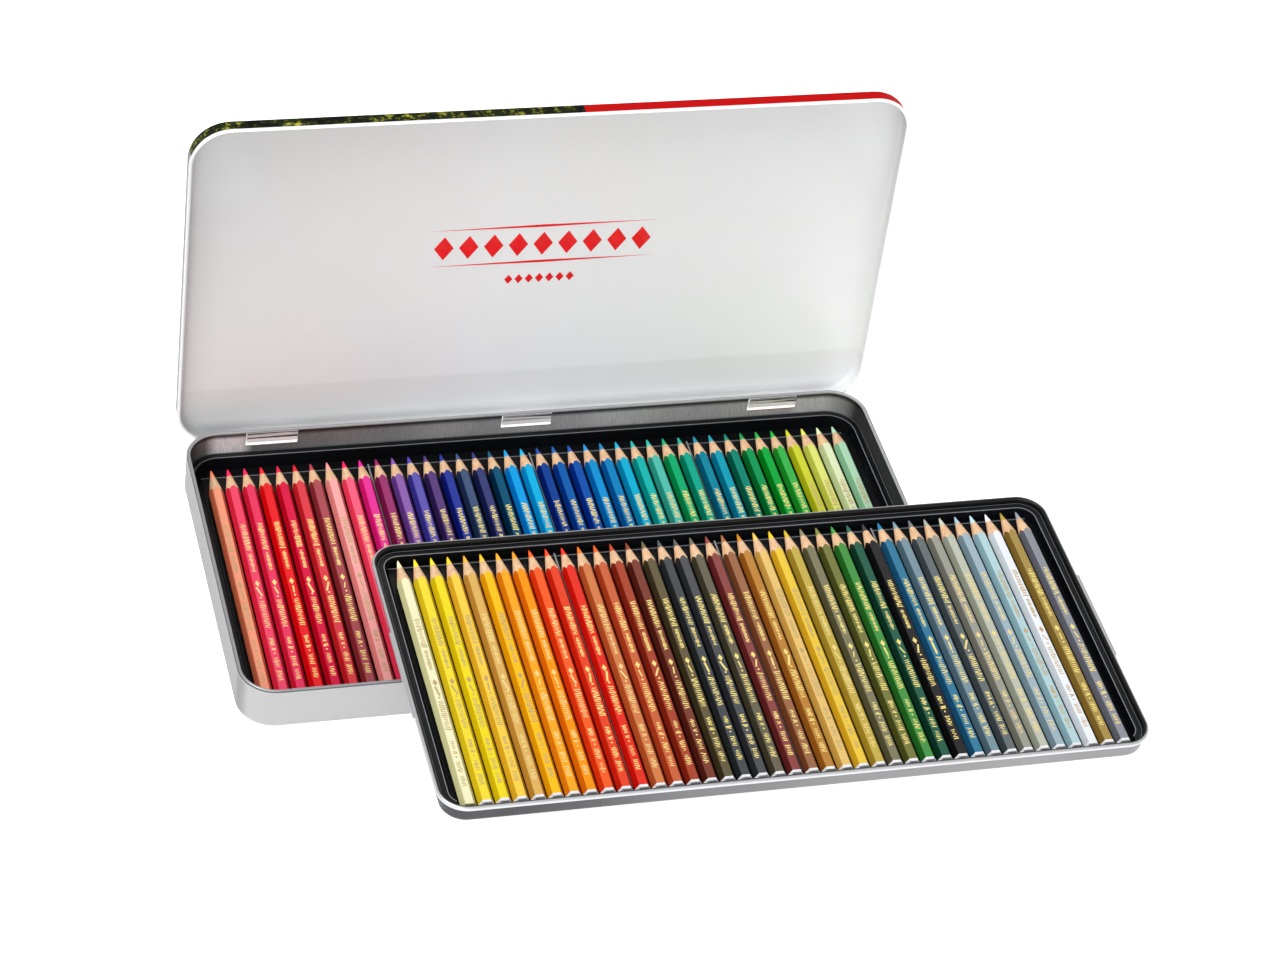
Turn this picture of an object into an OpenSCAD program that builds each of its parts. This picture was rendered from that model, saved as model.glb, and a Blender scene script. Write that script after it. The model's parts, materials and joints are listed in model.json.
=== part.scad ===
/* [Pencils] */
// Pencils in each of the two rows
row_count = 40; // [40:1:40]
// Length of a pencil
pencil_length = 175; // [168:1:182]
// Width of a pencil across its flats
pencil_flats = 7.1; // [6.6:0.1:7.6]
// Length of the sharpened cone, measured on the corners
cone_length = 19; // [16:0.5:24]
// Radius of the point
tip_r = 0.35; // [0.2:0.05:0.6]
// Air between neighbouring pencils in the box
box_air = 0.72; // [0.5:0.02:1.2]
// Air between neighbouring pencils in the tray
tray_air = 0.47; // [0.44:0.01:1]
// Pencils that make up one section of an insert
section_count = 10; // [5:5:10]
// First pencils of the box that lie clear of the tray and its lug
free_count = 7; // [7:1:7]

/* [Box] */
// Height of the box to the top of its bead
base_h = 25; // [24:0.5:28]
// Thickness of the tinplate
sheet_t = 0.6; // [0.5:0.05:0.7]
// Corner radius of the box
corner_r = 19; // [17:0.5:21]
// Radius between the box wall and its floor
bottom_r = 2.5; // [1.5:0.1:3]
// Radius of the bead round the box opening
bead_r = 0.9; // [0.8:0.05:1]
// How far the bead stands in from the wall
bead_inset = 0.35; // [0.2:0.05:0.5]
// From the side of the box to the first pencil's axis
box_side = 15; // [14.5:0.5:17]
// From the front of the box to the pencils' blunt ends
box_front = 11.5; // [11:0.5:14]
// From the back of the box to the pencils' tips
box_back = 10.5; // [10:0.5:14]

/* [Lid] */
// How far the lid reaches down over the box wall
lid_overlap = 8.9; // [8.3:0.1:9.5]
// Radius of the lid's hem
hem_r = 0.8; // [0.6:0.05:0.9]
// Air between the hem and the box wall
lid_air = 0.4; // [0.3:0.05:0.6]
// Air between the bead and the lid's panel when shut
roof_air = 0.3; // [0.2:0.1:1.5]
// Radius of the lid's outer edge
lid_edge_r = 2.5; // [1.5:0.1:3.5]
// Angle the lid stands open
lid_open = 92; // [60:1:94]

/* [Hinge] */
// Tongues that hook the lid into the box
tongue_count = 3; // [2:1:3]
// Distance between the outer tongues
tongue_span = 280; // [240:5:300]
// Width of a tongue
tongue_w = 27; // [20:1:32]
// Drop of a tongue below the hem's centre
tongue_drop = 3; // [2.8:0.1:3.2]
// Reach of a tongue inside the hem's centre
tongue_reach = 5.4; // [5:0.1:5.4]
// Radius inside the bend of a tongue
bend_in = 0.5; // [0.4:0.1:0.8]
// Air beside and below a tongue in its slot
slot_air = 0.5; // [0.4:0.05:0.6]
// Metal left between a slot and the bead
slot_land = 0.3; // [0.2:0.05:0.6]

/* [Tray] */
// Height of the tray
tray_h = 11.5; // [11:0.5:13]
// Corner radius of the tray
tray_r = 15; // [13:0.5:16]
// Radius of the rolled rim
roll_r = 1.3; // [1.1:0.1:1.5]
// How far the wall stands in from the rolled rim's edge
roll_over = 2; // [1.6:0.1:2.2]
// From the side of the tray to the first pencil's axis
tray_side = 15; // [14.5:0.5:17]
// From the front of the tray to the pencils' blunt ends
tray_front = 5; // [5:0.1:6]
// From the back of the tray to the pencils' tips
tray_back = 7.5; // [7.4:0.1:9]
// Length of a lift lug on each short side
lug_length = 62; // [50:1:70]
// How far a lift lug stands out
lug_out = 1; // [0.8:0.1:1.6]
// Thickness of a lift lug
lug_t = 1.2; // [1:0.1:1.4]
// Shift of the tray to the right of the box's centre
tray_x = 73; // [70:0.5:90]
// Shift of the tray in front of the box's centre
tray_y = 105; // [100:0.5:120]
// Air between the tray and the bead it lies on
tray_seat_air = 0.3; // [0.1:0.05:0.4]

/* [Inserts] */
// Thickness of the formed insert sheet
insert_t = 0.8; // [0.6:0.05:0.9]
// Width of the insert's lip in the box
box_lip_w = 3.7; // [3.4:0.1:4]
// Width of the insert's lip in the tray
tray_lip_w = 3.6; // [3.2:0.1:3.6]
// Air between the box wall and its insert
box_insert_air = 0.5; // [0.4:0.05:0.7]
// Air between the tray wall and its insert
tray_insert_air = 0.4; // [0.3:0.05:0.45]
// Air between an insert and the floor under it
floor_air = 0.1; // [0.05:0.05:0.3]
// Height of the box insert's lip above the table
box_lip_h = 10; // [9.8:0.1:10.4]
// Height of the tray insert's lip above the tray's underside
tray_lip_h = 8.5; // [8:0.1:8.6]
// Rise of the platform the pencils lie on
platform_rise = 1.1; // [1:0.1:1.3]
// Height of a rib between two sections
rib_h = 2.5; // [1.5:0.1:2.6]
// Thickness of a rib between two sections
rib_t = 0.9; // [0.7:0.05:1]

/* [Hidden] */
$fn = 96;
eps = 0.01;
overlap = 1;
pencil_corners = pencil_flats / cos(30);
pencil_air = 0.05;
stop_air = 1;
tip_clear = 1.5;
bed_set = 4;
side_clear = 1.5;
box_pitch = pencil_corners + box_air;
tray_pitch = pencil_corners + tray_air;
tin_w = (row_count - 1) * box_pitch + 2 * box_side;
tin_d = box_front + pencil_length + box_back;
lid_out = lid_air + 2 * hem_r;
lid_w = tin_w + 2 * lid_out;
lid_d = tin_d + 2 * lid_out;
lid_r = corner_r + lid_out;
tray_w = (row_count - 1) * tray_pitch + 2 * tray_side;
tray_d = tray_front + pencil_length + tray_back;
rim_z = base_h - lid_overlap;
lid_top = base_h + roof_air + sheet_t;
hinge_y = lid_d / 2 - hem_r;
hinge_z = rim_z + hem_r;
bend_r = sheet_t + bend_in;
insert_foot_r = bottom_r - sheet_t + floor_air;
insert_floor_z = sheet_t + floor_air;
platform_z = insert_floor_z + insert_t + platform_rise;
axis_z = platform_z + pencil_air + pencil_flats / 2;
box_insert_in = sheet_t + box_insert_air;
tray_insert_in = roll_over + sheet_t + tray_insert_air;
tray_z = base_h + tray_seat_air;
foot_in = bottom_r + overlap;

tin_rgb = [0.74, 0.74, 0.75];
insert_rgb = [0.07, 0.07, 0.08];
lid_rgb = [0.93, 0.94, 0.95];
box_stops = [
  [0.98, 0.63, 0.50],
  [0.89, 0.20, 0.30],
  [0.60, 0.28, 0.52],
  [0.20, 0.25, 0.58],
  [0.05, 0.45, 0.76],
  [0.05, 0.64, 0.62],
  [0.10, 0.62, 0.32],
  [0.84, 0.89, 0.50]
];
tray_stops = [
  [0.93, 0.90, 0.60],
  [0.96, 0.66, 0.16],
  [0.86, 0.28, 0.18],
  [0.42, 0.36, 0.31],
  [0.82, 0.62, 0.30],
  [0.35, 0.50, 0.35],
  [0.34, 0.50, 0.60],
  [0.78, 0.80, 0.80]
];

digits = "0123456789";
function two(i) = str(digits[floor(i / 10)], digits[i % 10]);
function box_name(i) = str("base_pencil_", two(i));
function tray_name(i) = str("tray_pencil_", two(i));
function locked(k) = k == 1 ? [free_count + 1, 20] : k == 2 ? [21, 30] : [31, row_count];
function group_name(k) = str("base_pencils_", two(locked(k)[0]), "_to_", two(locked(k)[1]));
function mix_stops(stops, t) =
  let (n = len(stops) - 1, k = min(n - 1, floor(t * n)), f = t * n - k)
  stops[k] * (1 - f) + stops[k + 1] * f;
function row_t(i) = (i - 1) / (row_count - 1);
function pencil_x(i, pitch) = (i - (row_count + 1) / 2) * pitch;
function tongue_x(k) = -tongue_span / 2 + k * tongue_span / (tongue_count - 1);

// A flat outline with round corners
module outline(w, d, r) {
  square([w - 2 * r, d], center = true);
  square([w, d - 2 * r], center = true);
  for (x = [-1, 1], y = [-1, 1]) {
    translate([x * (w / 2 - r), y * (d / 2 - r)]) circle(r);
  }
}

module plate(w, d, r, t) {
  linear_extrude(t) outline(w, d, r);
}

// One straight side and one corner of a profile carried round a rounded box
module side_and_corner(w, d, r) {
  translate([w / 2, d / 2 - r, 0]) rotate([90, 0, 0]) linear_extrude(d - 2 * r) children();
  translate([w / 2 - r, d / 2 - r, 0]) rotate_extrude(angle = 90) translate([r, 0]) children();
}

// The profile's x runs in from the outer face as a negative number, and y is height
module swept(w, d, r) {
  side_and_corner(w, d, r) children();
  rotate([0, 0, 90]) side_and_corner(d, w, r) children();
  rotate([0, 0, 180]) side_and_corner(w, d, r) children();
  rotate([0, 0, 270]) side_and_corner(d, w, r) children();
}

// A block that runs in from x = 0, its lower outer corner rounded
module foot(depth, height, r) {
  translate([-depth, 0]) square([depth - r, height]);
  translate([-depth, r]) square([depth, height - r]);
  intersection() {
    translate([-r, r]) circle(r);
    translate([-r, 0]) square(r);
  }
}

module base_section() {
  wall = base_h - bead_r;
  difference() {
    foot(foot_in, wall, bottom_r);
    translate([-sheet_t, sheet_t]) foot(foot_in, wall, bottom_r - sheet_t);
  }
  translate([-bead_inset - bead_r, wall]) circle(bead_r);
}

module slot_cut() {
  low = hinge_z - tongue_drop - slot_air;
  high = base_h - 2 * bead_r - slot_land;
  wide = tongue_w + 2 * slot_air;
  translate([-wide / 2, tin_d / 2 - sheet_t - overlap, low]) cube([wide, sheet_t + 2 * overlap, high - low]);
}

module base_box() {
  color(tin_rgb) difference() {
    union() {
      swept(tin_w, tin_d, corner_r) base_section();
      plate(tin_w - 2 * bottom_r, tin_d - 2 * bottom_r, corner_r - bottom_r, sheet_t);
    }
    for (k = [0 : tongue_count - 1]) {
      translate([tongue_x(k), 0, 0]) slot_cut();
    }
  }
}

module lid_section() {
  tall = lid_top - hinge_z;
  deep = lid_edge_r + overlap;
  translate([0, lid_top]) mirror([0, 1]) difference() {
    foot(deep, tall, lid_edge_r);
    translate([-sheet_t, sheet_t]) foot(deep, tall, lid_edge_r - sheet_t);
  }
  translate([-hem_r, hinge_z]) circle(hem_r);
}

// The tongue runs down from the hem, bends and reaches in under the box's bead
module tongue_section() {
  low = hinge_z - tongue_drop;
  translate([-sheet_t, low + bend_r]) square([sheet_t, tongue_drop - bend_r + hem_r]);
  translate([-hem_r - tongue_reach, low]) square([hem_r + tongue_reach - bend_r, sheet_t]);
  intersection() {
    translate([-bend_r, low + bend_r]) difference() {
      circle(bend_r);
      circle(bend_r - sheet_t);
    }
    translate([-bend_r, low]) square([bend_r, bend_r]);
  }
}

module lid_shut() {
  swept(lid_w, lid_d, lid_r) lid_section();
  translate([0, 0, lid_top - sheet_t])
    plate(lid_w - 2 * lid_edge_r, lid_d - 2 * lid_edge_r, lid_r - lid_edge_r, sheet_t);
  for (k = [0 : tongue_count - 1]) {
    translate([tongue_x(k) - tongue_w / 2, lid_d / 2, 0])
      rotate([90, 0, 90]) linear_extrude(tongue_w) tongue_section();
  }
}

module lid_shell() {
  color(lid_rgb)
    translate([0, hinge_y, hinge_z]) rotate([-lid_open, 0, 0]) translate([0, -hinge_y, -hinge_z]) lid_shut();
}

module pan_section() {
  rise = tray_h - roll_r;
  translate([-roll_over, 0]) difference() {
    foot(foot_in, rise, bottom_r);
    translate([-sheet_t, sheet_t]) foot(foot_in, rise, bottom_r - sheet_t);
  }
  translate([-roll_r, rise]) circle(roll_r);
}

module lug() {
  root = tray_w / 2 - roll_r;
  half = lug_length / 2;
  translate([0, 0, tray_h - roll_r - lug_t / 2]) linear_extrude(lug_t)
    polygon([[root, -half], [tray_w / 2 + lug_out, -half + lug_out], [tray_w / 2 + lug_out, half - lug_out], [root, half]]);
}

module in_tray() {
  translate([tray_x, -tray_y, tray_z]) children();
}

module tray_pan() {
  in = roll_over + bottom_r;
  color(tin_rgb) in_tray() {
    swept(tray_w, tray_d, tray_r) pan_section();
    plate(tray_w - 2 * in, tray_d - 2 * in, tray_r - in, sheet_t);
    lug();
    mirror([1, 0, 0]) lug();
  }
}

// The lip of a formed insert: skirt, flat top and inner leg, open from below
module lip_section(in, lip_w, lip_h) {
  tall = lip_h - insert_floor_z;
  deep = lip_w + overlap;
  translate([-in, insert_floor_z]) difference() {
    foot(deep, tall, insert_foot_r);
    translate([-insert_t, insert_t]) foot(lip_w - 2 * insert_t, tall - 2 * insert_t, insert_foot_r - insert_t);
    translate([-deep - eps, insert_t]) square([overlap + eps, tall]);
  }
}

// Floor, raised platform and section ribs of an insert
module insert_bed(w, d, r, in, span, front, back, pitch) {
  long = d - front - back - bed_set - tip_clear;
  low = -d / 2 + front + bed_set;
  top = insert_t + platform_rise;
  translate([0, 0, insert_floor_z]) {
    difference() {
      union() {
        plate(w - 2 * in, d - 2 * in, r - in, insert_t);
        translate([-span / 2, low, 0]) cube([span, long, top]);
      }
      translate([-span / 2 + insert_t, low + insert_t, -eps])
        cube([span - 2 * insert_t, long - 2 * insert_t, platform_rise + eps]);
    }
    for (i = [section_count : section_count : row_count - 1]) {
      translate([pencil_x(i + 0.5, pitch) - rib_t / 2, low + insert_t, top - insert_t / 2])
        cube([rib_t, long - 2 * insert_t, rib_h + insert_t / 2]);
    }
  }
}

module base_insert() {
  in = box_insert_in;
  span = (row_count - 1) * box_pitch + pencil_corners + 2 * side_clear;
  step = in + box_lip_w - insert_t / 2;
  deep = box_front - stop_air - step;
  low = insert_floor_z + insert_t;
  tall = box_lip_h - low;
  color(insert_rgb) {
    swept(tin_w, tin_d, corner_r) lip_section(in, box_lip_w, box_lip_h);
    insert_bed(tin_w, tin_d, corner_r, in + box_lip_w, span, box_front, box_back, box_pitch);
    translate([-span / 2, -tin_d / 2 + step, low]) difference() {
      cube([span, deep, tall]);
      translate([insert_t, -eps, -eps]) cube([span - 2 * insert_t, deep - insert_t + eps, tall - insert_t + eps]);
    }
  }
}

module tray_insert() {
  in = tray_insert_in;
  span = (row_count - 1) * tray_pitch + pencil_corners + 2 * side_clear;
  color(insert_rgb) in_tray() {
    difference() {
      swept(tray_w, tray_d, tray_r) lip_section(in, tray_lip_w, tray_lip_h);
      translate([-span / 2, -tray_d / 2 + in + insert_t, insert_floor_z + insert_t])
        cube([span, tray_r - in - insert_t, tray_lip_h]);
    }
    insert_bed(tray_w, tray_d, tray_r, in + tray_lip_w - insert_t, span, tray_front, tray_back, tray_pitch);
  }
}

// A pencil along +Y from its blunt end, lying on a flat
module pencil() {
  r = pencil_corners / 2;
  grow = 1;
  slope = (cone_length - tip_r) / (r - tip_r);
  rotate([-90, 0, 0]) intersection() {
    linear_extrude(pencil_length) circle(r, $fn = 6);
    rotate_extrude() {
      polygon([
        [0, -grow],
        [r + grow, -grow],
        [r + grow, pencil_length - cone_length - grow * slope],
        [tip_r, pencil_length - tip_r],
        [0, pencil_length - tip_r]
      ]);
      intersection() {
        translate([0, pencil_length - tip_r]) circle(tip_r, $fn = 32);
        translate([0, pencil_length - 2 * tip_r]) square([tip_r, 2 * tip_r]);
      }
    }
  }
}

module box_pencil(i) {
  color(mix_stops(box_stops, row_t(i)))
    translate([pencil_x(i, box_pitch), -tin_d / 2 + box_front, axis_z]) pencil();
}

module box_group(k) {
  for (i = [locked(k)[0] : locked(k)[1]]) {
    box_pencil(i);
  }
}

module tray_pencil(i) {
  color(mix_stops(tray_stops, row_t(i))) in_tray()
    translate([pencil_x(i, tray_pitch), -tray_d / 2 + tray_front, axis_z]) pencil();
}

base_box();
base_insert();
lid_shell();
tray_pan();
tray_insert();
for (i = [1 : free_count]) box_pencil(i);
for (k = [1 : 3]) box_group(k);
for (i = [1 : row_count]) tray_pencil(i);
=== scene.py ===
import json
import math
import bpy
from mathutils import Matrix, Vector

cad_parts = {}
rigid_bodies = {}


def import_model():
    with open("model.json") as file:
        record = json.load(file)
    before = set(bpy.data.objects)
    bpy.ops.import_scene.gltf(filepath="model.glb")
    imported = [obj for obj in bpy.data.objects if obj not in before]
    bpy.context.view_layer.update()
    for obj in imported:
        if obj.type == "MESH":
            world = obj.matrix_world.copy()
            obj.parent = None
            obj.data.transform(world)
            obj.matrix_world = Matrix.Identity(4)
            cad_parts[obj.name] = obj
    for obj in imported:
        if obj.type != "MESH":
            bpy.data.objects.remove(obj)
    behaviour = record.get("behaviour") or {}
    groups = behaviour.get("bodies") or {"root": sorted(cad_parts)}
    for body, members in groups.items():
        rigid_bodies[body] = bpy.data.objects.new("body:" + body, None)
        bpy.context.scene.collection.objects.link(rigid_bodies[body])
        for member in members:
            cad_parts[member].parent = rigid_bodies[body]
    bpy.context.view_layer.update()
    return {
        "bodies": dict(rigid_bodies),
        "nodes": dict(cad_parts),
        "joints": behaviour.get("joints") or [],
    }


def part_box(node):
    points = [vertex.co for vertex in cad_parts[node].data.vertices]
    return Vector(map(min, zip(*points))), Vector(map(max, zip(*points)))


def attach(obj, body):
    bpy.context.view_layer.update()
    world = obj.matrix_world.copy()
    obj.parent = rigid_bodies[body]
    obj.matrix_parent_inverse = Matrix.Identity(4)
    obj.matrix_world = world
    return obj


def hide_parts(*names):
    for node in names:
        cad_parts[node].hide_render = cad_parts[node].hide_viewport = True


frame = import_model()
scene = bpy.context.scene
print("frame loaded")

# Camera and light

view = {
    "pixels": 3727,  # focal length in pixels of a frame 1280 wide
    "frameWidth": 1280,
    "yaw": 20.28,
    "pitch": 40.84,
    "roll": 9.34,
    "place": (-0.4741, -1.3754, 1.3272),
}

studio = {
    "sky": 0.44,
    "sideShift": 0.2,  # more light from the right, less from the left
    "zenith": 0.3,  # a darker patch straight above, for the rims' dark line
    "zenithSpan": (0.93, 0.985),  # height on the sky where that patch starts and is full
    "key": 2.15,
    "keyFrom": (-0.55, -0.1, 1.0),
    "front": 1.12,
    "frontFrom": (-0.3, -1.0, 0.42),
    "spread": 35,
    "floorWhite": 0.97,
    "floorGlow": 0.75,
    "floorHalf": 12,
}


def setCamera():
    camera = bpy.data.objects.new("camera", bpy.data.cameras.new("camera"))
    scene.collection.objects.link(camera)
    scene.camera = camera
    camera.data.sensor_width = 36
    camera.data.lens = view["pixels"] * camera.data.sensor_width / view["frameWidth"]
    yaw, pitch, roll = (math.radians(view[k]) for k in ("yaw", "pitch", "roll"))
    ahead = Vector((math.sin(yaw) * math.cos(pitch), math.cos(yaw) * math.cos(pitch), -math.sin(pitch)))
    level = Vector((math.cos(yaw), -math.sin(yaw), 0))
    upright = level.cross(ahead)
    right = math.cos(roll) * level + math.sin(roll) * upright
    up = -math.sin(roll) * level + math.cos(roll) * upright
    turn = Matrix((right, up, -ahead)).transposed().to_4x4()
    turn.translation = Vector(view["place"])
    camera.matrix_world = turn


def linear(hexText):
    parts = [int(hexText[i:i + 2], 16) / 255 for i in (0, 2, 4)]
    return tuple(c / 12.92 if c <= 0.04045 else ((c + 0.055) / 1.055) ** 2.4 for c in parts)


class Wire:  # a shader socket that can be used in sums

    def __init__(self, finish, socket):
        self.finish, self.socket = finish, socket

    def math(self, operation, *values):
        return self.finish.add("ShaderNodeMath", {"operation": operation}, dict(enumerate(values)))

    def __add__(self, other):
        return self.math("ADD", self, other)

    def __sub__(self, other):
        return self.math("SUBTRACT", self, other)

    def __rsub__(self, other):
        return self.math("SUBTRACT", other, self)

    def __mul__(self, other):
        return self.math("MULTIPLY", self, other)

    def __gt__(self, other):
        return self.math("GREATER_THAN", self, other)

    def __lt__(self, other):
        return self.math("LESS_THAN", self, other)

    def __abs__(self):
        return self.math("ABSOLUTE", self)

    __radd__ = __add__
    __rmul__ = __mul__


class Finish:  # one material, built as wires into its shader

    def __init__(self, name, **fixed):
        self.material = bpy.data.materials.new(name)
        self.material.use_nodes = True
        self.tree = self.material.node_tree
        self.shader = self.tree.nodes["Principled BSDF"]
        self.set(**fixed)

    def add(self, kind, settings=None, inputs=None, output=0):
        node = self.tree.nodes.new(kind)
        for key, value in (settings or {}).items():
            if key == "stops":
                self.setStops(node.color_ramp, value)
            else:
                setattr(node, key, value)
        for key, value in (inputs or {}).items():
            self.feed(node.inputs[key], value)
        return Wire(self, node.outputs[output])

    def setStops(self, ramp, stops):
        while len(ramp.elements) < len(stops):
            ramp.elements.new(1)
        for element, (place, shade) in zip(ramp.elements, stops):
            element.position = place
            element.color = (shade, shade, shade, 1) if isinstance(shade, (int, float)) else (*shade, 1)

    def feed(self, socket, value):
        if isinstance(value, Wire):
            self.tree.links.new(value.socket, socket)
        elif isinstance(value, (tuple, list)) and len(value) == 3 and socket.type == "RGBA":
            socket.default_value = (*value, 1)
        else:
            socket.default_value = value

    def set(self, **values):
        for key, value in values.items():
            self.feed(self.shader.inputs[key.replace("_", " ")], value)

    def place(self, scale=(1, 1, 1), turn=(0, 0, 0), move=(0, 0, 0)):
        spot = self.add("ShaderNodeTexCoord", output="Object")
        return self.add("ShaderNodeMapping", {},
                        {0: spot, "Scale": scale, "Rotation": turn, "Location": move})

    def facing(self):
        return self.add("ShaderNodeTexCoord", output="Normal")

    def split(self, vector):
        parts = self.add("ShaderNodeSeparateXYZ", {}, {0: vector})
        sockets = parts.socket.node.outputs
        return [Wire(self, sockets[i]) for i in range(3)]

    def noise(self, where, scale, detail=3, rough=0.5):
        return self.add("ShaderNodeTexNoise", {},
                        {"Vector": where, "Scale": scale, "Detail": detail, "Roughness": rough})

    def ramp(self, value, *stops):
        return self.add("ShaderNodeValToRGB", {"stops": stops}, {0: value})

    def level(self, value, low, high, outLow=0.0, outHigh=1.0):
        return self.add("ShaderNodeMapRange", {"clamp": True},
                        {0: value, 1: low, 2: high, 3: outLow, 4: outHigh})

    def mix(self, factor, first, second):
        return self.add("ShaderNodeMix", {"data_type": "RGBA"}, {0: factor, 6: first, 7: second}, output=2)

    def multiply(self, colour, shade):
        return self.add("ShaderNodeMix", {"data_type": "RGBA", "blend_type": "MULTIPLY"},
                        {0: 1.0, 6: colour, 7: shade}, output=2)

    def band(self, value, middle, half):  # 1 at the middle, falling to 0 at half to either side
        return self.level(abs(value - middle), 0.0, half, 1.0, 0.0)

    def ring(self, x, y, halfWide, halfDeep, corner):  # distance outside a rounded outline
        overX, overY = abs(x) - (halfWide - corner), abs(y) - (halfDeep - corner)
        pastX, pastY = self.peak(overX, 0.0), self.peak(overY, 0.0)
        within = self.add("ShaderNodeMath", {"operation": "MINIMUM"}, {0: self.peak(overX, overY), 1: 0.0})
        root = self.add("ShaderNodeMath", {"operation": "SQRT"}, {0: pastX * pastX + pastY * pastY})
        return root + within - corner

    def peak(self, first, second):
        return self.add("ShaderNodeMath", {"operation": "MAXIMUM"}, {0: first, 1: second})

    def bump(self, height, strength, distance):
        raised = {"Height": height, "Strength": strength, "Distance": distance}
        self.set(Normal=self.add("ShaderNodeBump", {}, raised))


def setStudio():
    world = bpy.data.worlds.new("studio")
    scene.world = world
    world.use_nodes = True
    nodes, links = world.node_tree.nodes, world.node_tree.links
    spot, parts = nodes.new("ShaderNodeTexCoord"), nodes.new("ShaderNodeSeparateXYZ")
    links.new(spot.outputs["Generated"], parts.inputs[0])
    side, high = nodes.new("ShaderNodeMapRange"), nodes.new("ShaderNodeMapRange")
    total = nodes.new("ShaderNodeMath")
    total.operation = "MULTIPLY"
    sideRange = (-1, 1, studio["sky"] - studio["sideShift"], studio["sky"] + studio["sideShift"])
    zenithRange = (*studio["zenithSpan"], 1, studio["zenith"])
    for ramp, axis, values in ((side, "X", sideRange), (high, "Z", zenithRange)):
        links.new(parts.outputs[axis], ramp.inputs[0])
        for socket, value in zip(ramp.inputs[1:5], values):
            socket.default_value = value
        links.new(ramp.outputs[0], total.inputs[0 if axis == "X" else 1])
    links.new(total.outputs[0], nodes["Background"].inputs["Strength"])
    nodes["Background"].inputs["Color"].default_value = (1, 1, 1, 1)

    for label in ("key", "front"):
        lamp = bpy.data.objects.new(label, bpy.data.lights.new(label, "SUN"))
        lamp.data.energy = studio[label]
        lamp.data.angle = math.radians(studio["spread"])
        lamp.rotation_euler = Vector(studio[label + "From"]).to_track_quat("Z", "Y").to_euler()
        scene.collection.objects.link(lamp)

    floorMesh = bpy.data.meshes.new("floor")
    half = studio["floorHalf"]
    corners = [(-half, -half, 0), (half, -half, 0), (half, half, 0), (-half, half, 0)]
    floorMesh.from_pydata(corners, [], [(0, 1, 2, 3)])
    floor = bpy.data.objects.new("floor", floorMesh)
    scene.collection.objects.link(floor)
    white = studio["floorWhite"]
    paper = Finish("studioPaper", Roughness=0.9, Base_Color=(white, white, white), Emission_Color=(1, 1, 1),
                   Emission_Strength=studio["floorGlow"])
    floorMesh.materials.append(paper.material)
    scene.view_settings.view_transform = "Standard"


setCamera()
setStudio()
print("camera and studio set")

# Pencils

pencil = {
    "cone": 0.019,
    "tipRadius": 0.00035,
    "leadRadius": 0.00165,
    "cornerRound": 0.0006,
    "cornerSteps": 3,
    "flatSteps": 6,
    "dipLength": 0.0014,
    "dipFilm": 0.00004,
    "endRound": 0.0005,
    "sideDepth": 1.5,  # painted shade: all flats but the top one are darker and deeper in colour
    "sideShade": 0.77,
    "topFlat": (0.6, 0.85),  # how far up a flat faces when it starts and ends being the top one
    "wood": "E2B288",
    "woodPale": "F6D6AE",
    "woodRay": "CD966C",
    "leadDepth": 1.15,
    "leadBright": 1.5,
    "leadChalk": 0.03,
    "dip": "E4E5E8",
    "dipPale": "F7F7F9",
    "woodRings": 4,
    "leadRings": 3,
}

boxColours = """
salmon F9A080, coral EF4A6A, rose E63A60, scarlet E8232B, carmine D61C45, brickRed D8404A, russetRose A84E55,
lightPink F7A8A5, pink F5607F, magenta E23595, purpleMagenta 97356B, violet 8A5FAA, blueViolet 5F57AE,
darkViolet 573E78, royalBlue 2A3A95, slate 415578, indigo 373E72, prussian 05506F, azure 0A9BDF, cyan 08ACDC,
darkBlue 0A3E90, cobalt 0A5AA8, ultramarine 0A4FA6, cerulean 0A8CCB, blue 0A7CB8, turquoiseBlue 08A8CC,
turquoise 14AFA8, lightTurquoise 50B8A8, emerald 0BA56B, bluishGreen 0AA187, petrol 0A8098, teal 0A98AE,
seaGreen 0A806C, green 0A9050, brightGreen 0AA23E, grass 38AC4A, lime C8CC34, lightLime D9DE74,
paleLime DCE6BC, paleMint ACD6B6
"""
trayColours = """
ivory EEEBC0, lemon EFD93A, yellow EDD827, golden F3CC4A, tan D9AE5E, gold F7BE1E, lightOrange F2A526,
orange F09315, orangeRed EE5E2A, vermilion E2472A, red E03426, sienna CF7B4C, terracotta C7633F,
russet A64731, brown 7A4034, oliveBrown 645A42, darkGrey 4A4E50, grey 505256, greyBrown 686352,
maroon 8A4846, lightBrown 99684A, ochreBrown B8813C, lightOchre E2BE72, goldenOchre E6C344,
oliveYellow C0AA4E, oliveGrey 7E7A5F, olive 757842, leafGreen 489048, darkGreen 2C5E4C, black 2E2E30,
petrolBlue 3A7898, blueGrey 78909C, coolGrey 656E71, warmGrey 9A9A90, lightGrey B9BDAE,
lightBlueGrey 9CB1BB, paleBlue B0CED4, white E8ECF0, bronze A48C4E, silverGrey 8C8E97
"""

foil = {
    "thickness": 0.00006,
    "proud": 0.00002,
    "slant": 24,
    "sizeSpread": 0.3,
    "seed": 11,
    "gold": "FFE98A",
    "brownGold": "F8DF92",
    "tan": "C9AE78",
    "tanAbove": 0.5,  # how light a pencil is when its foil is tan
    "brownAbove": 0.3,
    # each run: first and last place from the blunt end, strokes in it, stroke's length and width
    "strokes": (
        (0.0120, 0.0180, 6, 0.00055, 0.0022),
        (0.0215, 0.0275, 6, 0.00055, 0.0022),
        (0.0335, 0.0345, 2, 0.0007, 0.0023),
        (0.0370, 0.0415, 5, 0.00065, 0.0019),
        (0.0500, 0.0690, 15, 0.0006, 0.0026),
        (0.0765, 0.0765, 1, 0.0060, 0.0009),
        (0.0920, 0.1050, 14, 0.0006, 0.0016),
        (0.1080, 0.1275, 17, 0.0006, 0.0025),
    ),
    "lozenges": ((0.0825, 0.0048, 0.0024), (0.0720, 0.0016, 0.0014), (0.0310, 0.0014, 0.0012)),
}


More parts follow.
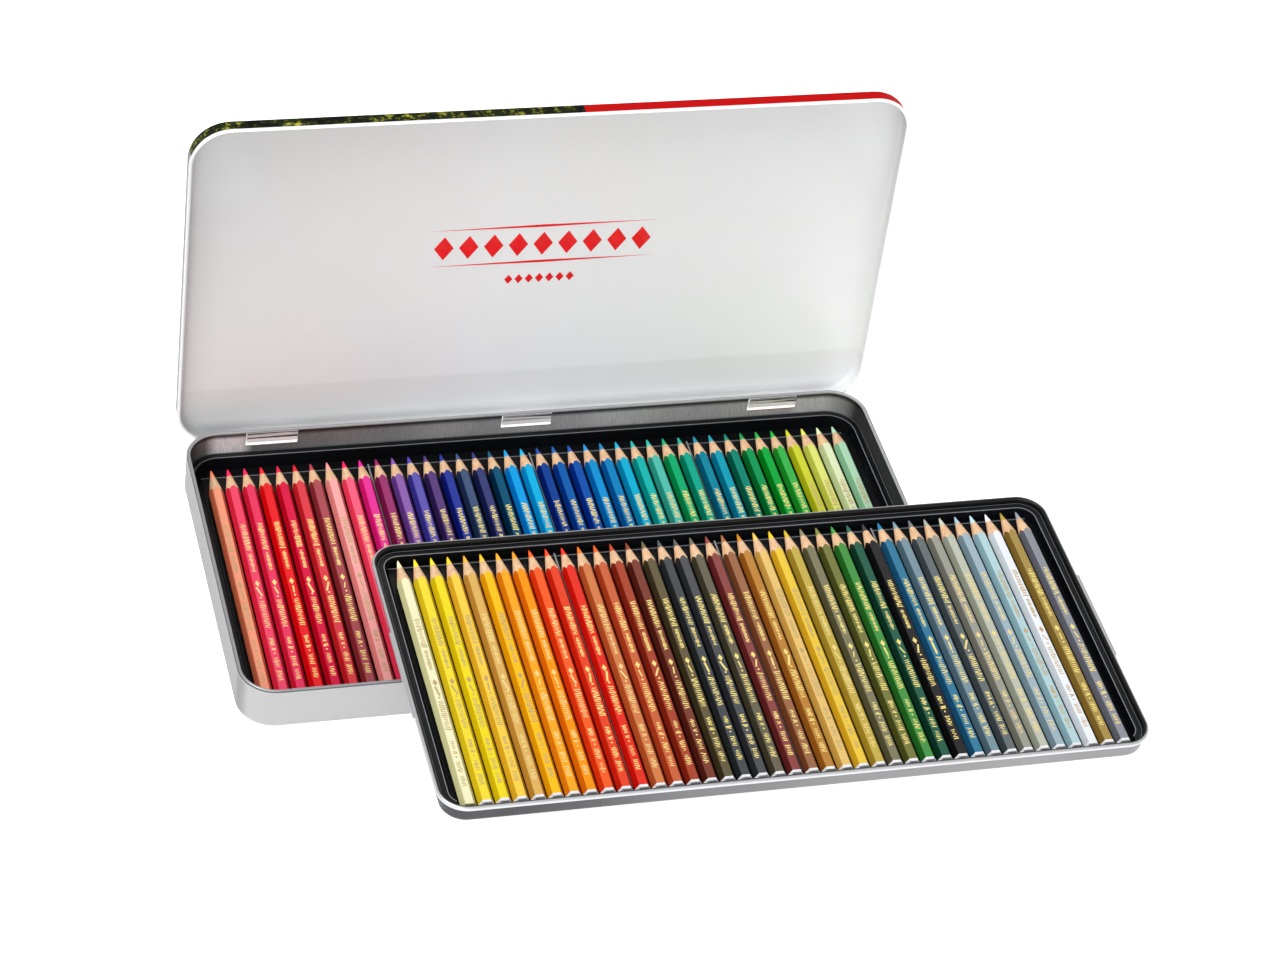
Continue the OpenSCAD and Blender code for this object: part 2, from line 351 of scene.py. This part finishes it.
def palette(text):
    return [linear(entry.split()[1]) for entry in text.strip().split(",")]


def makeLacquer():
    lacquer = Finish("pencilLacquer", Coat_Weight=0.04, Coat_Roughness=0.15, Specular_IOR_Level=0.1)
    tint = lacquer.add("ShaderNodeAttribute", {"attribute_name": "tint"}, output="Color")
    cloud = lacquer.noise(lacquer.place((1, 0.15, 1)), 160, 2)
    up = lacquer.split(lacquer.facing())[2]
    # painted shade: flats that don't face up get a darker, deeper copy of the lacquer colour
    deep = lacquer.add("ShaderNodeGamma", {}, {"Color": tint, "Gamma": pencil["sideDepth"]})
    side = lacquer.multiply(deep, (pencil["sideShade"],) * 3)
    tint = lacquer.mix(lacquer.level(up, *pencil["topFlat"]), side, tint)
    lacquer.set(Base_Color=lacquer.multiply(tint, lacquer.ramp(cloud, (0.3, 0.97), (0.7, 1.0))))
    lacquer.set(Roughness=lacquer.level(lacquer.noise(lacquer.place(), 900, 2), 0.3, 0.7, 0.3, 0.42))
    lacquer.bump(lacquer.noise(lacquer.place((1, 0.2, 1)), 500, 1), 0.03, 0.0001)
    return lacquer.material


def makeWood():
    wood = Finish("pencilWood", Roughness=0.65, Specular_IOR_Level=0.25)
    grain = wood.noise(wood.place((1, 0.07, 1)), 1500, 4, 0.65)
    ray = wood.noise(wood.place((1, 0.25, 1)), 420, 2)
    pale = wood.mix(wood.level(grain, 0.35, 0.68), linear(pencil["wood"]), linear(pencil["woodPale"]))
    wood.set(Base_Color=wood.mix(wood.level(ray, 0.45, 0.75, 0.0, 0.4), pale, linear(pencil["woodRay"])))
    wood.bump(grain, 0.35, 0.0001)
    return wood.material


def makeLead():
    lead = Finish("pencilLead", Roughness=0.55, Specular_IOR_Level=0.2)
    tint = lead.add("ShaderNodeAttribute", {"attribute_name": "tint"}, output="Color")
    grit = lead.noise(lead.place(), 2600, 2)
    bright = lead.add("ShaderNodeHueSaturation", {},
                      {"Color": tint, "Saturation": pencil["leadDepth"], "Value": pencil["leadBright"]})
    chalky = lead.mix(pencil["leadChalk"], bright, (1, 1, 1))
    lead.set(Base_Color=lead.multiply(chalky, lead.ramp(grit, (0.3, 0.92), (0.7, 1.0))))
    lead.bump(grit, 0.25, 0.00008)
    return lead.material


def makeDip():
    dip = Finish("whiteDip", Roughness=0.3, Coat_Weight=0.4)
    cloud = dip.noise(dip.place(), 500, 2)
    dip.set(Base_Color=dip.ramp(cloud, (0.3, linear(pencil["dip"])), (0.7, linear(pencil["dipPale"]))))
    dip.bump(cloud, 0.1, 0.0002)
    return dip.material


def makeFoil():
    gilt = Finish("hotFoil", Roughness=0.4, Metallic=0.15)
    tint = gilt.add("ShaderNodeAttribute", {"attribute_name": "tint"}, output="Color")
    worn = gilt.noise(gilt.place(), 2200, 2)
    gilt.set(Base_Color=gilt.multiply(tint, gilt.ramp(worn, (0.3, 0.8), (0.6, 1.0))))
    gilt.bump(worn, 0.2, 0.00005)
    return gilt.material


def markTree(name):
    tree = bpy.data.node_groups.new(name, "GeometryNodeTree")
    face = tree.interface
    face.new_socket("Geometry", in_out="INPUT", socket_type="NodeSocketGeometry")
    for label, kind, default in (("Thickness", "NodeSocketFloat", 0.0001), ("Slant", "NodeSocketFloat", 0.2),
                                 ("Size Spread", "NodeSocketFloat", 0.2), ("Bars", "NodeSocketBool", False),
                                 ("Seed", "NodeSocketInt", 0), ("Material", "NodeSocketMaterial", None)):
        socket = face.new_socket(label, in_out="INPUT", socket_type=kind)
        if default is not None:
            socket.default_value = default
    face.new_socket("Geometry", in_out="OUTPUT", socket_type="NodeSocketGeometry")
    nodes, links = tree.nodes, tree.links
    given, result = nodes.new("NodeGroupInput"), nodes.new("NodeGroupOutput")
    stamp = nodes.new("GeometryNodeMeshCylinder")
    stamp.inputs["Radius"].default_value = 0.5
    stamp.inputs["Vertices"].default_value = 4
    links.new(given.outputs["Thickness"], stamp.inputs["Depth"])
    bar, barSize = nodes.new("GeometryNodeMeshCube"), nodes.new("ShaderNodeCombineXYZ")
    choice = nodes.new("GeometryNodeSwitch")
    barSize.inputs["X"].default_value = barSize.inputs["Y"].default_value = 1
    links.new(given.outputs["Thickness"], barSize.inputs["Z"])
    links.new(barSize.outputs[0], bar.inputs["Size"])
    choice.input_type = "GEOMETRY"
    links.new(given.outputs["Bars"], choice.inputs["Switch"])
    links.new(stamp.outputs["Mesh"], choice.inputs["False"])
    links.new(bar.outputs["Mesh"], choice.inputs["True"])

    def withNumber(socket, operation, number):
        node = nodes.new("ShaderNodeMath")
        node.operation = operation
        node.inputs[1].default_value = number
        links.new(socket, node.inputs[0])
        return node.outputs[0]

    def randomFloat(lowSocket, highSocket, seedShift):
        pick = nodes.new("FunctionNodeRandomValue")
        pick.data_type = "FLOAT"
        links.new(withNumber(given.outputs["Seed"], "ADD", seedShift), pick.inputs["Seed"])
        links.new(lowSocket, pick.inputs[2])
        links.new(highSocket, pick.inputs[3])
        return pick.outputs[1]

    slant, spread = given.outputs["Slant"], given.outputs["Size Spread"]
    turn = nodes.new("ShaderNodeCombineXYZ")
    links.new(randomFloat(withNumber(slant, "MULTIPLY", -1), slant, 0), turn.inputs["Z"])
    smallest = withNumber(withNumber(spread, "MULTIPLY", -1), "ADD", 1)
    grow = randomFloat(smallest, withNumber(spread, "ADD", 1), 7)
    size = nodes.new("GeometryNodeInputNamedAttribute")
    size.data_type = "FLOAT_VECTOR"
    size.inputs["Name"].default_value = "markSize"
    sized = nodes.new("ShaderNodeVectorMath")
    sized.operation = "MULTIPLY"
    growAll = nodes.new("ShaderNodeCombineXYZ")
    links.new(grow, growAll.inputs["X"])
    links.new(grow, growAll.inputs["Y"])
    growAll.inputs["Z"].default_value = 1
    links.new(size.outputs[0], sized.inputs[0])
    links.new(growAll.outputs[0], sized.inputs[1])
    scatter = nodes.new("GeometryNodeInstanceOnPoints")
    links.new(given.outputs["Geometry"], scatter.inputs["Points"])
    links.new(choice.outputs[0], scatter.inputs["Instance"])
    links.new(turn.outputs[0], scatter.inputs["Rotation"])
    links.new(sized.outputs[0], scatter.inputs["Scale"])
    solid = nodes.new("GeometryNodeRealizeInstances")
    paint = nodes.new("GeometryNodeSetMaterial")
    links.new(scatter.outputs[0], solid.inputs[0])
    links.new(solid.outputs[0], paint.inputs["Geometry"])
    links.new(given.outputs["Material"], paint.inputs["Material"])
    links.new(paint.outputs[0], result.inputs[0])
    return tree


def stampMarks(name, places, sizes, tree, values):
    mesh = bpy.data.meshes.new(name)
    mesh.from_pydata(places, [], [])
    attribute = mesh.attributes.new("markSize", "FLOAT_VECTOR", "POINT")
    attribute.data.foreach_set("vector", [c for size in sizes for c in size])
    holder = bpy.data.objects.new(name, mesh)
    scene.collection.objects.link(holder)
    modifier = holder.modifiers.new("marks", "NODES")
    modifier.node_group = tree
    ids = {item.name: item.identifier for item in tree.interface.items_tree if item.in_out == "INPUT"}
    for label, value in values.items():
        modifier[ids[label]] = value
    bpy.context.view_layer.update()
    graph = bpy.context.evaluated_depsgraph_get()
    result = bpy.data.meshes.new_from_object(holder.evaluated_get(graph))
    holder.modifiers.remove(modifier)
    bpy.data.objects.remove(holder)
    bpy.data.meshes.remove(mesh)
    return result


def hexOutline(apothem):
    points, arcs = [], []
    rounding, steps = pencil["cornerRound"], pencil["cornerSteps"]
    inner = (apothem - rounding) / math.cos(math.pi / 6)
    for k in range(6):
        middle = math.pi / 3 * k
        arc = []
        for i in range(steps + 1):
            angle = middle + math.pi / 3 * (i / steps - 0.5)
            arc.append((inner * math.cos(middle) + rounding * math.cos(angle),
                        inner * math.sin(middle) + rounding * math.sin(angle)))
        arcs.append(arc)
    for k, arc in enumerate(arcs):
        points += arc
        start, end = Vector(arc[-1]), Vector(arcs[(k + 1) % 6][0])
        for i in range(1, pencil["flatSteps"]):
            points.append(tuple(start.lerp(end, i / pencil["flatSteps"])))
    return points


lacquered, dippedWhite, woodCut, leadCore, foiled = range(5)  # the pencils' material slots


class PencilSet:  # the mesh of one or more pencils that share a body

    def __init__(self, materials):
        self.materials = materials
        self.points, self.faces, self.paint, self.tint, self.sharp = [], [], [], [], []

    def addPencil(self, place, length, apothem, tint, dipped=True):
        outline = hexOutline(apothem)
        count = len(outline)
        base = len(self.points)
        corner = apothem / math.cos(math.pi / 6)
        slope = (corner - pencil["tipRadius"]) / pencil["cone"]
        leadY = length - (pencil["leadRadius"] - pencil["tipRadius"]) / slope
        tipY = length - pencil["tipRadius"] * 0.6

        def coneAt(y):
            return corner - (y - (length - pencil["cone"])) * slope

        radii = [math.hypot(*p) for p in outline]
        cut = [length - pencil["cone"] + (corner - r) / slope for r in radii]
        rings = []  # each column's place along the pencil and distance from its axis, and the paint below

        def prismRing(y, grow, paint):
            rings.append(([y] * count, [r + grow for r in radii], paint))

        end, film = pencil["endRound"], pencil["dipFilm"]
        for y, grow in ((0, -end), (end * 0.12, -end * 0.5), (end * 0.5, -end * 0.12), (end, film),
                        (pencil["dipLength"], film), (pencil["dipLength"] + film * 4, 0)):
            prismRing(y, grow, dippedWhite)
        cutRing = len(rings)
        rings.append((cut, radii, lacquered))
        for i in range(1, pencil["woodRings"] + 1):
            along = [y + (leadY - y) * i / pencil["woodRings"] for y in cut]
            rings.append((along, [coneAt(y) for y in along], woodCut))
        for i in range(1, pencil["leadRings"] + 1):
            y = leadY + (tipY - leadY) * i / pencil["leadRings"]
            rings.append(([y] * count, [coneAt(y)] * count, leadCore))
        x0, y0, z0 = place
        self.points.append((x0, y0, z0))
        for along, out, paint in rings:
            for (x, z), r, y, rr in zip(outline, radii, along, out):
                self.points.append((x0 + x / r * rr, y0 + y, z0 + z / r * rr))
        self.points.append((x0, y0 + length, z0))
        self.tint += [tint] * (len(self.points) - base)
        last = len(self.points) - 1
        endPaint = dippedWhite if dipped else lacquered
        for i in range(count):
            j = (i + 1) % count
            self.faces.append((base, base + 1 + i, base + 1 + j))
            self.paint.append(endPaint)
            for k in range(1, len(rings)):
                low, high = base + 1 + (k - 1) * count, base + 1 + k * count
                self.faces.append((low + i, high + i, high + j, low + j))
                paint = rings[k][2]
                self.paint.append(endPaint if paint == dippedWhite else paint)
                if k == cutRing:
                    self.sharp.append((high + i, high + j))
            top = base + 1 + (len(rings) - 1) * count
            self.faces.append((top + i, last, top + j))
            self.paint.append(leadCore)

    def addMarks(self, mesh, tint):
        base = len(self.points)
        self.points += [tuple(v.co) for v in mesh.vertices]
        self.tint += [tint] * len(mesh.vertices)
        for polygon in mesh.polygons:
            self.faces.append(tuple(base + v for v in polygon.vertices))
            self.paint.append(foiled)

    def build(self, name):
        mesh = bpy.data.meshes.new(name)
        mesh.from_pydata(self.points, [], self.faces)
        for material in self.materials:
            mesh.materials.append(material)
        mesh.polygons.foreach_set("material_index", self.paint)
        mesh.polygons.foreach_set("use_smooth", [p in (woodCut, leadCore) for p in self.paint])
        colour = mesh.color_attributes.new("tint", "FLOAT_COLOR", "POINT")
        colour.data.foreach_set("color", [c for t in self.tint for c in (*t, 1)])
        sharp = {tuple(sorted(e)) for e in self.sharp}
        mesh.update(calc_edges=True)
        mesh.edges.foreach_set("use_edge_sharp", [tuple(sorted(e.vertices)) in sharp for e in mesh.edges])
        mesh.validate()
        piece = bpy.data.objects.new(name, mesh)
        scene.collection.objects.link(piece)
        return piece


def foilTint(colour):
    light = 0.3 * colour[0] + 0.6 * colour[1] + 0.1 * colour[2]
    if light > foil["tanAbove"]:
        return linear(foil["tan"])
    return linear(foil["brownGold"] if light > foil["brownAbove"] else foil["gold"])


def pencilMarks(place, apothem, seed, tree, material):
    top = place[2] + apothem + foil["proud"] - foil["thickness"] / 2
    places, sizes = [], []
    for start, stop, count, along, across in foil["strokes"]:
        for i in range(count):
            places.append((place[0], place[1] + start + (stop - start) * i / max(1, count - 1), top))
            sizes.append((across, along, 1))
    values = {"Thickness": foil["thickness"], "Slant": math.radians(foil["slant"]),
              "Size Spread": foil["sizeSpread"], "Bars": True,
              "Seed": foil["seed"] + seed, "Material": material}
    strokes = stampMarks("strokes", places, sizes, tree, values)
    places = [(place[0], place[1] + y, top) for y, along, across in foil["lozenges"]]
    sizes = [(across, along, 1) for y, along, across in foil["lozenges"]]
    values.update({"Bars": False, "Slant": 0.0, "Size Spread": 0.0})
    return strokes, stampMarks("lozenges", places, sizes, tree, values)


def makePencils():
    paints = [makeLacquer(), makeDip(), makeWood(), makeLead(), makeFoil()]
    tree = markTree("foilMarks")
    made = 0
    for prefix, colours in (("base_pencil", palette(boxColours)), ("tray_pencil", palette(trayColours))):
        for node in sorted(frame["nodes"]):
            if not node.startswith(prefix):
                continue
            numbers = [int(part) for part in node.split("_") if part.isdigit()]
            first, last = numbers[0], numbers[-1]
            low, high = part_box(node)
            apothem = (high[2] - low[2]) / 2
            wide = 2 * apothem / math.cos(math.pi / 6)
            pitch = (high[0] - low[0] - wide) / (last - first) if last > first else 0
            group = PencilSet(paints)
            for number in range(first, last + 1):
                place = (low[0] + wide / 2 + (number - first) * pitch, low[1], (low[2] + high[2]) / 2)
                tint = colours[number - 1]
                dipped = not (prefix == "tray_pencil" and number == 1)
                group.addPencil(place, high[1] - low[1], apothem, tint, dipped)
                for marks in pencilMarks(place, apothem, number, tree, paints[foiled]):
                    group.addMarks(marks, foilTint(tint))
            piece = group.build(node.replace("pencil", "coloured_pencil"))
            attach(piece, node if node in frame["bodies"] else "base")
            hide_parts(node)
            made += last - first + 1
    print(made, "pencils made")


makePencils()

# Tin, tray and lid

tin = {
    # painted shade: the colour of the dark line in the rim's crease
    "crease": "1E1E1F",
    "topShade": (0.0190, 0.0212, 0.1),  # the wall under the rim darkens from, to, and by how much
    # painted highlight: a glint patch on the back wall beside each end tongue
    "patch": "F4F4F6",
    "patchFrom": 0.15,
    "patchTo": 0.176,
    "patchFade": 0.006,
    "backShade": (-0.13, 0.02, 0.36),  # the back wall lightens from, to, and starts at
    "endFacing": (-0.98, -0.5),  # how a wall inside faces when it's the back one, and an end one
    "endShade": 0.1,  # the end walls inside against the back wall
    "toneSpan": (-0.18, 0.06),  # painted light: the outside goes from its left lit tone towards its right lit tone over this
    "toneMost": 0.75,
    "cloudMost": 0.25,
    "leftFacing": (-0.97, -0.8),  # painted shade: how a wall outside faces when it's fully darkened, and not at all
    "insideDull": 0.8,  # how much less metallic the inside is
    "patchDull": 0.15,
    "rimDull": 0.3,
    "leftDull": 0.8,
    "leftDark": 0.6,
    "creaseDark": 0.7,
    "rimGrit": 0.06,
    "fade": 0.0003,
    "rimFade": 0.0002,
}

box = {
    "leftTone": "A4A4A4",
    "rightTone": "989899",
    "insideDark": "BCBDBE",
    "insideLight": "D8D8D9",
    # painted highlight: the colour of the rim's bright band
    "bright": "A8A9AC",
    "rimDeep": 0.004,  # how far inside the outline the rim's painted highlight reaches
    "halfWide": 0.18891,
    "halfDeep": 0.0985,
    "corner": 0.019,
    "rimLow": 0.0233,
    "crease": (-0.0004, 0.0003),  # its distance inside the outline, and half its width
    "lip": (-0.0011, -0.0048, 0.01),  # outer and inner edge from the outline, and height
    "bedEnd": (0.0865, 0.0026),
    "ribTop": 0.0051,
}

tray = {
    "leftTone": "3E3E40",
    "rightTone": "888889",
    # painted shade: the tray's inside wall is near-black
    "insideDark": "070708",
    "insideLight": "121314",
    # painted highlight: the colour of the rim's bright band
    "bright": "CACBCE",
    "rimDeep": 0.0012,
    "halfWide": 0.18403,
    "halfDeep": 0.09375,
    "corner": 0.015,
    "rimLow": 0.0090,
    "crease": (-0.0014, 0.0004),
    "lip": (-0.003, -0.0066, 0.0085),
    "bedEnd": (0.08475, 0.0026),
    "ribTop": 0.0051,
}

lid = {
    "open": 92,
    "panelGap": 0.0084,  # from the hinge axis to the panel's inner face, lid shut
    "hemRadius": 0.0008,
    "tongueMetal": 0.15,
    "sideFrom": 0.176,
    "sideFacing": 0.96,  # how far to the left the plain side wall faces at least
    "sideGrey": "4A4B4E",
    "sideDims": (0.001, 0.003),  # painted shade: from the hem, where the plain side wall starts and ends turning grey
    # painted light: the enamel is darker at the top of the panel and lighter towards the hinge
    "enamelTop": "C8C9CA",
    "enamelFoot": "FAFBFC",
    "leftShade": 0.75,
    "leftSpan": (-0.19, -0.02),  # the panel lightens from the left edge to here
    "panelReach": 0.2,
    "coat": 0.35,
    "inkGrit": 0.35,  # the print is rougher than the enamel
    "hem": "FEFEFE",
    # painted shade: the hem greys towards the lid's left end
    "leftHem": "C6C7C9",
    "leftHemSpan": (-0.19, -0.183),
    "lowBand": 0.028,  # the panel's part next to the hinge, a shade darker
    "lowShade": 0.93,
    "tongue": "F6F6F8",
    "tongueLines": (0.42, 0.56, 0.04, 0.8),  # noise where the lines start and end, darkest and brightest
    "lipFrom": 0.002,  # painted highlight: the tongue's bend, from the hinge axis, is plain and bright
    "lipFade": 0.0004,
    "green": "1C280C",
    "deepGreen": "060A05",
    "leaf": "C6C23E",
    "red": "C20003",
    "redFrom": 0.0127,
}

inserts = {
    "black": "060709",
    "blueBlack": "0A0D12",
    # painted highlight: thin bright lines along the formed edges, the bed's end and the rib tops
    "edge": "9FA3A8",
    "line": 0.0003,  # half the width of a painted highlight line
    "inset": 0.0002,  # from the edge to the middle of that line
}


def brushed(finish, stretch, scale, low, high):
    return finish.level(finish.noise(finish.place(stretch), scale, 4, 0.6), 0.3, 0.7, low, high)


def makeTinplate(name, centre, part, streaky):
    plate = Finish(name)
    x, y, z = plate.split(plate.place(move=tuple(-c for c in centre)))
    nx, ny = plate.split(plate.facing())[:2]
    depth = plate.ring(x, y, part["halfWide"], part["halfDeep"], part["corner"])
    inward = (x * nx + y * ny) < -0.01
    streak = brushed(plate, (1, 1, 0.15), 1600, 0.72, 1.0)
    cloud = plate.noise(plate.place((1, 1, 0.3)), 24, 2)
    inside = plate.mix(plate.level(cloud, 0.4, 0.7), linear(part["insideDark"]), linear(part["insideLight"]))
    start, full, shade = tin["backShade"]
    atEnds = plate.level(ny, *tin["endFacing"], 1.0, tin["endShade"])
    inside = plate.multiply(inside, plate.level(x, start, full, shade, 1.0) * atEnds)
    dull = tin["insideDull"]
    if streaky:
        # painted highlight: a bright glint patch on the back wall beside the end tongues
        glint = plate.level(abs(x), tin["patchFrom"], tin["patchFrom"] + tin["patchFade"])
        ends = plate.level(abs(x), tin["patchTo"] - tin["patchFade"], tin["patchTo"], 1.0, 0.0)
        glint = glint * ends * (y > 0)
        glint = glint * plate.level(cloud, 0.3, 0.55, 0.4, 1.0)
        inside = plate.mix(glint, inside, linear(tin["patch"]))
        dull = dull + tin["patchDull"] * glint
    inside = plate.multiply(inside, streak)
    start, full, shade = tin["topShade"]
    inside = plate.multiply(inside, plate.level(z, start, full, 1.0, shade))
    cloudy = tin["cloudMost"] * plate.level(plate.noise(plate.place(), 12, 3), 0.35, 0.7)
    # painted light: besides a random cloud, the outside shades from left to right
    broad = cloudy + plate.level(x, *tin["toneSpan"], 0.0, tin["toneMost"])
    outside = plate.mix(broad, linear(part["leftTone"]), linear(part["rightTone"]))
    # painted shade: outside walls facing left are darkened
    shadedLeft = plate.level(nx, *tin["leftFacing"], 1.0, 0.0) * (1 - inward)
    outside = plate.multiply(outside, 1 - shadedLeft * tin["leftDark"])
    # painted highlight: the rim's top near the outline takes the bright colour
    rim = plate.level(z, part["rimLow"], part["rimLow"] + tin["rimFade"])
    shallow = plate.level(depth, -part["rimDeep"] - tin["fade"], -part["rimDeep"])
    body = plate.mix(rim * shallow, plate.mix(inward, outside, inside), linear(part["bright"]))
    # painted shade: a dark line along the rim's crease
    crease = plate.band(depth, *part["crease"]) * rim
    plate.set(Base_Color=plate.mix(crease * tin["creaseDark"], body, linear(tin["crease"])))
    grit = plate.level(plate.noise(plate.place(), 900, 3), 0.3, 0.7, 0.35, 0.42)
    dulled = inward * dull + rim * (1 - inward) * tin["rimDull"] + shadedLeft * (1 - rim) * tin["leftDull"]
    plate.set(Metallic=1 - dulled, Roughness=grit + tin["rimGrit"] * rim)
    plate.bump(plate.noise(plate.place((1, 1, 0.05)), 1500, 3) * (1 - rim), 0.02, 0.0001)
    return plate.material


def makeFormedSheet(name, centre, part):
    sheet = Finish(name, Specular_IOR_Level=0.3, Coat_Weight=0.08, Coat_Roughness=0.25)
    x, y, z = sheet.split(sheet.place(move=tuple(-c for c in centre)))
    depth = sheet.ring(x, y, part["halfWide"], part["halfDeep"], part["corner"])
    outer, inner, high = part["lip"]
    line, inset = inserts["line"], inserts["inset"]
    # painted highlight: bright lines along the lip's edges, the bed's end and the rib tops
    edge = sheet.peak(sheet.band(depth, inner + inset, line), sheet.band(depth, outer - inset, line) * 0.5)
    edge = edge * (z > high - line)
    bedY, bedZ = part["bedEnd"]
    flat = sheet.split(sheet.facing())[2] > 0.8
    bed = sheet.band(y, bedY - inset, 2 * inset) * sheet.band(z, bedZ, line) * flat
    rib = sheet.band(z, part["ribTop"], inset) * flat
    shine = sheet.peak(edge, sheet.peak(bed, rib * 0.7))
    fine = sheet.noise(sheet.place(), 1200, 3)
    broad = sheet.noise(sheet.place(), 14, 2)
    black = sheet.mix(sheet.level(broad, 0.35, 0.7), linear(inserts["black"]), linear(inserts["blueBlack"]))
    sheet.set(Base_Color=sheet.mix(shine, black, linear(inserts["edge"])))
    sheet.set(Roughness=sheet.level(fine, 0.3, 0.7, 0.3, 0.46))
    sheet.bump(fine, 0.1, 0.0002)
    return sheet.material


def lidSpace(finish, hinge):
    turn = Matrix.Rotation(math.radians(lid["open"]), 3, "X")
    move = -(turn @ Vector(hinge))
    return finish.place(turn=(math.radians(lid["open"]), 0, 0), move=tuple(move))


def makeLidPaint(hinge):
    paint = Finish("lidEnamel", Coat_Roughness=0.05, Specular_IOR_Level=0.12)
    where = lidSpace(paint, hinge)
    x, y, z = paint.split(where)
    normal = paint.add("ShaderNodeMapping", {"vector_type": "NORMAL"},
                       {0: paint.facing(), "Rotation": (math.radians(lid["open"]), 0, 0)})
    nx, ny, nz = paint.split(normal)
    out = (x * nx + (y + hinge[1]) * ny + (z - lid["panelGap"] * 0.3) * nz) > 0.0
    above = z > lid["hemRadius"] * 0.6
    plainSide = (x < -lid["sideFrom"]) * (nx < -lid["sideFacing"])
    printed = out * above * (1 - plainSide)
    specks = paint.noise(where, 260, 5, 0.7)
    clumps = paint.noise(where, 48, 4, 0.6)
    green = paint.mix(paint.level(clumps, 0.4, 0.6), linear(lid["deepGreen"]), linear(lid["green"]))
    blooms = paint.level(specks, 0.52, 0.62) * paint.level(clumps, 0.44, 0.6, 0.08, 1.0)
    green = paint.mix(blooms, green, linear(lid["leaf"]))
    ink = paint.mix(x > lid["redFrom"], green, linear(lid["red"]))
    cloud = paint.noise(where, 35, 4)
    # painted light: the panel lightens from the top towards the hinge
    toFoot = paint.level(y, -lid["panelReach"], 0.0)
    white = paint.mix(toFoot, linear(lid["enamelTop"]), linear(lid["enamelFoot"]))
    white = paint.multiply(white, paint.ramp(cloud, (0.35, 0.985), (0.7, 1.0)))
    white = paint.multiply(white, paint.level(x, *lid["leftSpan"], lid["leftShade"], 1.0))
    bare = z < -lid["hemRadius"] * 1.05
    lines = paint.noise(paint.place((0.02, 1, 1)), 800, 3, 0.6)
    streak = paint.level(lines, *lid["tongueLines"])
    # painted highlight: the tongue's bend is kept bright
    streak = paint.peak(streak, paint.level(y, -lid["lipFrom"] - lid["lipFade"], -lid["lipFrom"]))
    metal = paint.multiply(linear(lid["tongue"]), streak)
    low = paint.level(y, -lid["lowBand"] - 0.001, -lid["lowBand"] + 0.001)
    white = paint.multiply(white, paint.mix(low, (1, 1, 1), (lid["lowShade"],) * 3))
    # painted shade: the plain left side wall turns grey away from the hem
    white = paint.mix(plainSide * paint.level(z, *lid["sideDims"]), white, linear(lid["sideGrey"]))
    hem = paint.level(z, lid["hemRadius"] * 0.9, lid["hemRadius"] * 1.2, 1.0, 0.0)
    # painted shade: the hem greys at the lid's left end
    toLeft = paint.level(x, *lid["leftHemSpan"], 1.0, 0.0)
    white = paint.mix(hem, white, paint.mix(toLeft, linear(lid["hem"]), linear(lid["leftHem"])))
    paint.set(Base_Color=paint.mix(bare, paint.mix(printed, white, ink), metal))
    paint.set(Metallic=bare * lid["tongueMetal"], Coat_Weight=lid["coat"] * (1 - printed) * (1 - plainSide))
    grit = paint.level(paint.noise(where, 600, 2), 0.3, 0.7, 0.26, 0.36)
    paint.set(Roughness=grit + printed * lid["inkGrit"])
    paint.bump(paint.noise(where, 420, 2), 0.05, 0.0003)
    return paint.material


ornament = {
    "ink": "E60D18",
    "inkDark": "D80C16",
    "thickness": 0.00006,
    "proud": 0.00004,
    "centre": (0.0005, -0.1125),  # across the lid, and from its hinge
    # each row: offset from the centre, marks, pitch, mark across, mark high
    "rows": (
        (0.0, 9, 0.0134, 0.0106, 0.0150),
        (0.0115, 1, 0.0, 0.124, 0.0016),
        (-0.0115, 1, 0.0, 0.124, 0.0016),
        (-0.0225, 7, 0.0056, 0.0046, 0.0060),
    ),
}


def makeOrnament(hinge):
    ink = Finish("redInk", Roughness=0.34, Coat_Weight=0.4)
    cloud = ink.noise(ink.place(), 300, 3)
    patchy = ink.level(cloud, 0.3, 0.7)
    ink.set(Base_Color=ink.mix(patchy, linear(ornament["inkDark"]), linear(ornament["ink"])))
    ink.bump(cloud, 0.05, 0.0001)
    places, sizes = [], []
    for offset, count, pitch, across, high in ornament["rows"]:
        for i in range(count):
            places.append(((i - (count - 1) / 2) * pitch, -offset, 0))
            sizes.append((across, high, 1))
    values = {"Thickness": ornament["thickness"], "Slant": 0.0, "Size Spread": 0.0, "Bars": False, "Seed": 0,
              "Material": ink.material}
    mesh = stampMarks("lid_ornament", places, sizes, bpy.data.node_groups["foilMarks"], values)
    x, back = ornament["centre"]
    depth = lid["panelGap"] - ornament["proud"] + ornament["thickness"] / 2
    sit = Matrix.Translation((x, back, depth)) @ Matrix.Rotation(math.pi, 4, "Y")
    swing = Matrix.Translation(hinge) @ Matrix.Rotation(-math.radians(lid["open"]), 4, "X")
    mesh.transform(swing @ sit)
    piece = bpy.data.objects.new("lid_ornament", mesh)
    scene.collection.objects.link(piece)
    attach(piece, "lid")


def coat(node, material):
    for slot in frame["nodes"][node].material_slots:
        slot.material = material


def dressTin():
    hinge = next(j["pos_m"] for j in frame["joints"] if j["name"] == "lid_hinge")
    low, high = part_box("tray_pan")
    trayCentre = tuple((a + b) / 2 for a, b in zip(low, high))
    trayFoot = (trayCentre[0], trayCentre[1], low[2])
    coat("base_box", makeTinplate("boxTinplate", (0, 0, 0), box, True))
    coat("tray_pan", makeTinplate("trayTinplate", trayFoot, tray, False))
    coat("base_insert", makeFormedSheet("boxInsertSheet", (0, 0, 0), box))
    coat("tray_insert", makeFormedSheet("trayInsertSheet", trayFoot, tray))
    coat("lid_shell", makeLidPaint(hinge))
    makeOrnament(hinge)
    print("tin dressed")


dressTin()
